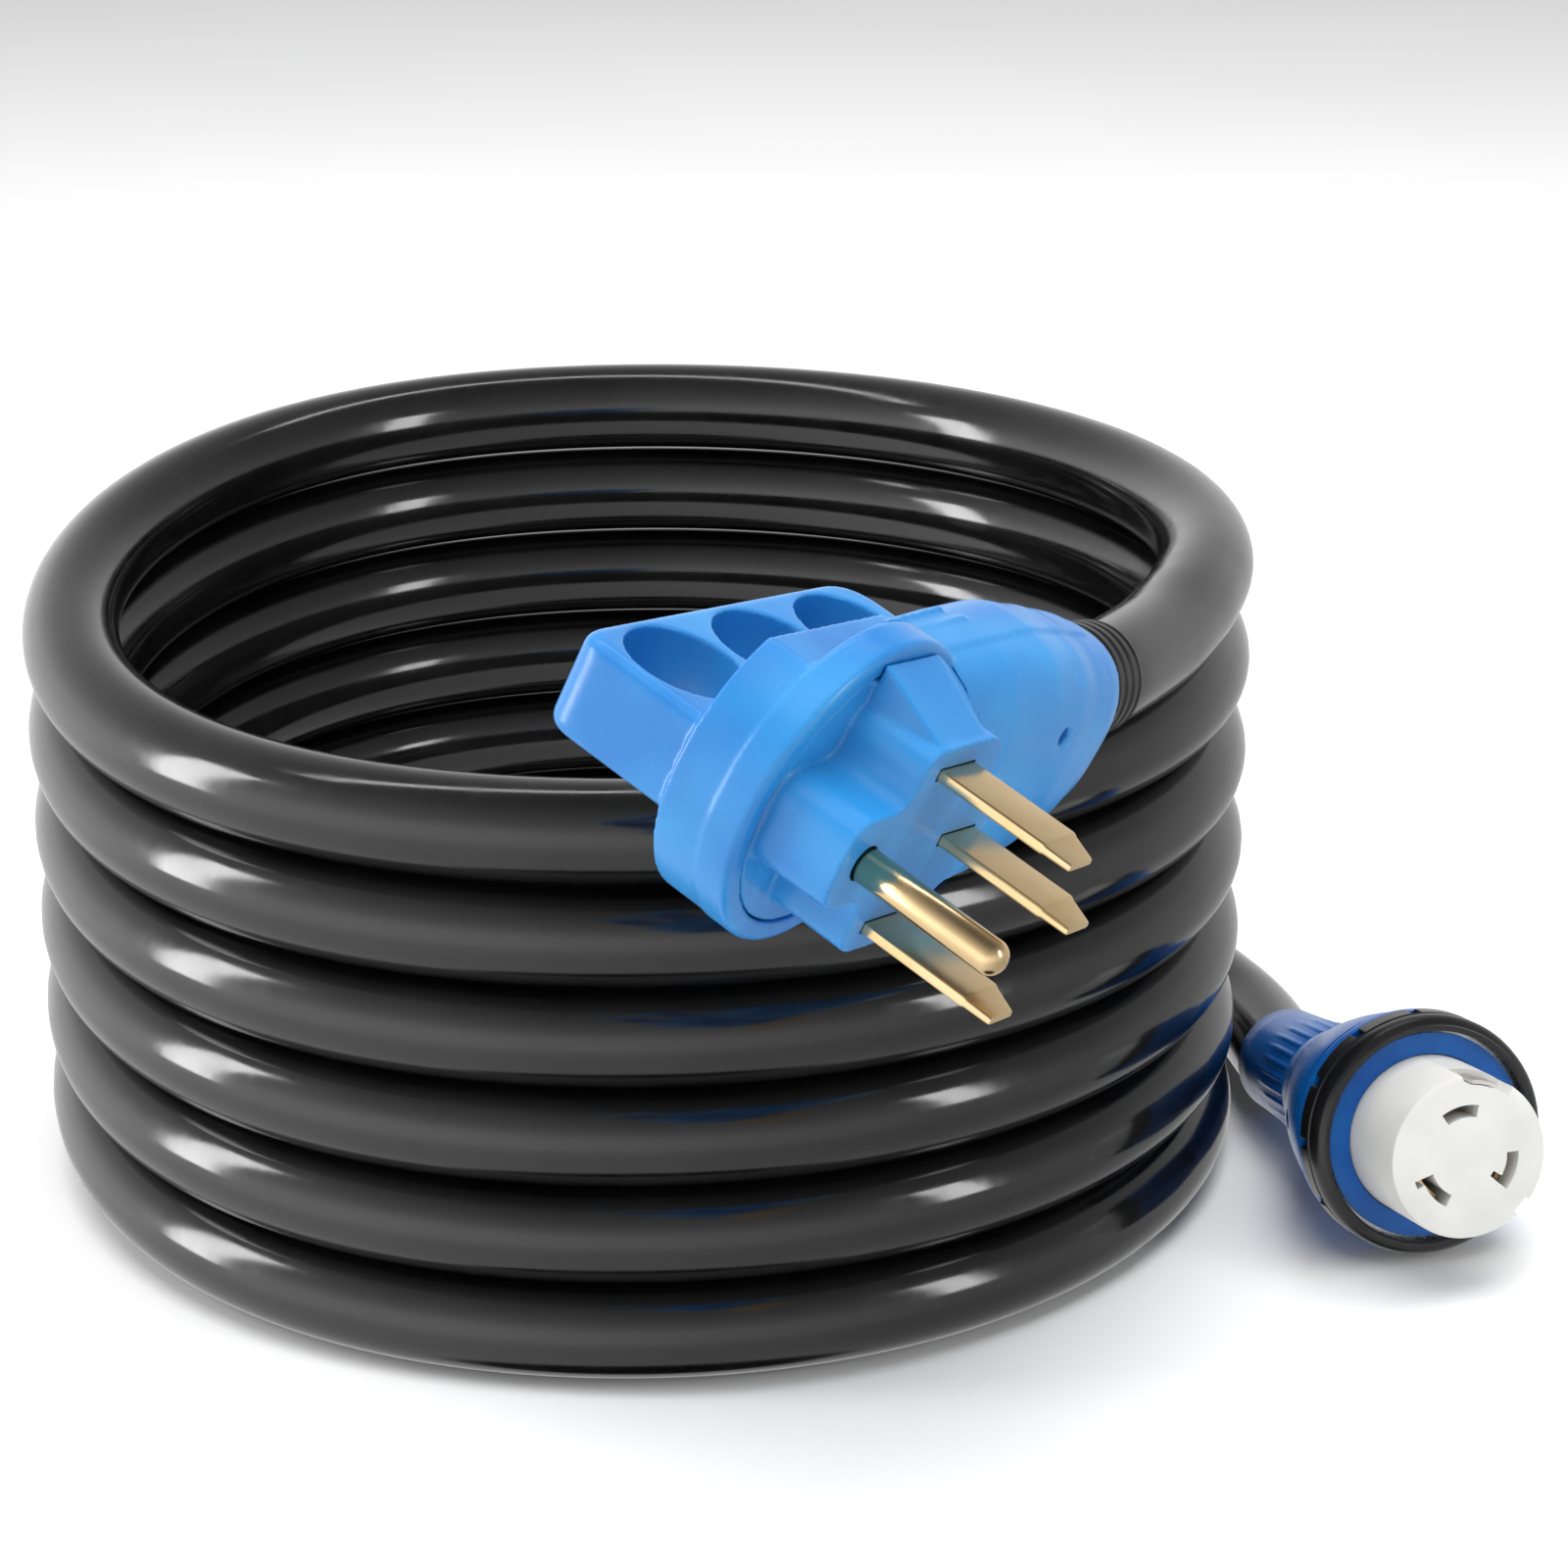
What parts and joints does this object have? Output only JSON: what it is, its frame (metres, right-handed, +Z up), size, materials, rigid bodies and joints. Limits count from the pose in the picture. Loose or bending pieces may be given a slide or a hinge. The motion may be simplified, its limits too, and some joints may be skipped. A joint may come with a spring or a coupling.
{
  "type": "shore power cord",
  "caption": "Heavy black shore power cable, coiled, with a finger-hole handled blade plug on one end and a round connector with a turning locking ring on the other.",
  "frame": {"origin": "on the floor, under the middle of the box round the plug and the connector", "axes": "+Z up; +Y away from the viewer, towards the coil; the plug's blades and the connector's face point towards -Y"},
  "size_m": [0.3961, 0.6658, 0.2144],
  "materials": {
    "plug_pvc": "satin moulded PVC",
    "carrier_nylon": "satin moulded nylon",
    "blade_brass": "bright drawn brass",
    "crimp_copper": "crimped copper sleeve",
    "wire_black": "extruded insulation",
    "wire_red": "extruded insulation",
    "wire_white": "extruded insulation",
    "wire_green": "extruded insulation",
    "lamp_lens": "polished lens",
    "cable_jacket": "glossy extruded jacket",
    "shell_blue": "moulded nylon",
    "ring_black": "satin moulded nylon",
    "barrel_white": "moulded thermoset",
    "seal_rubber": "soft rubber",
    "clip_steel": "bright spring steel"
  },
  "bodies": {
    "cord_set": {"plug_body": "plug_pvc", "blade_carrier": "carrier_nylon", "line_blade_x": "blade_brass", "line_blade_y": "blade_brass", "neutral_blade": "blade_brass", "ground_pin": "blade_brass", "crimp_x": "crimp_copper", "crimp_y": "crimp_copper", "crimp_neutral": "crimp_copper", "crimp_ground": "crimp_copper", "plug_wire_x": "wire_black", "plug_wire_y": "wire_red", "plug_wire_neutral": "wire_white", "plug_wire_ground": "wire_green", "indicator_lens": "lamp_lens", "plug_strain_relief": "seal_rubber", "cable_coil": "cable_jacket", "plug_lead": "cable_jacket", "connector_lead": "cable_jacket", "connector_shell": "shell_blue", "barrel_seal": "seal_rubber", "ring_clip": "clip_steel", "contact_barrel": "barrel_white", "arc_contact_1": "blade_brass", "arc_contact_2": "blade_brass", "arc_contact_3": "blade_brass", "ground_contact": "blade_brass", "terminal_plate": "wire_black", "terminal_x": "blade_brass", "terminal_y": "blade_brass", "terminal_neutral": "blade_brass", "terminal_ground": "blade_brass", "connector_wire_x": "wire_black", "connector_wire_y": "wire_red", "connector_wire_neutral": "wire_white", "connector_wire_ground": "wire_green", "cable_nut": "shell_blue", "cable_grommet": "seal_rubber"},
    "lock_ring": {"locking_ring": "ring_black"}
  },
  "joints": [
    {"name": "ring_turn", "type": "hinge", "parent": "cord_set", "child": "lock_ring", "pos_m": [0.0911, 0.0515, 0.032], "axis": [0.2656, -0.945, 0.1908], "continuous": true}
  ]
}
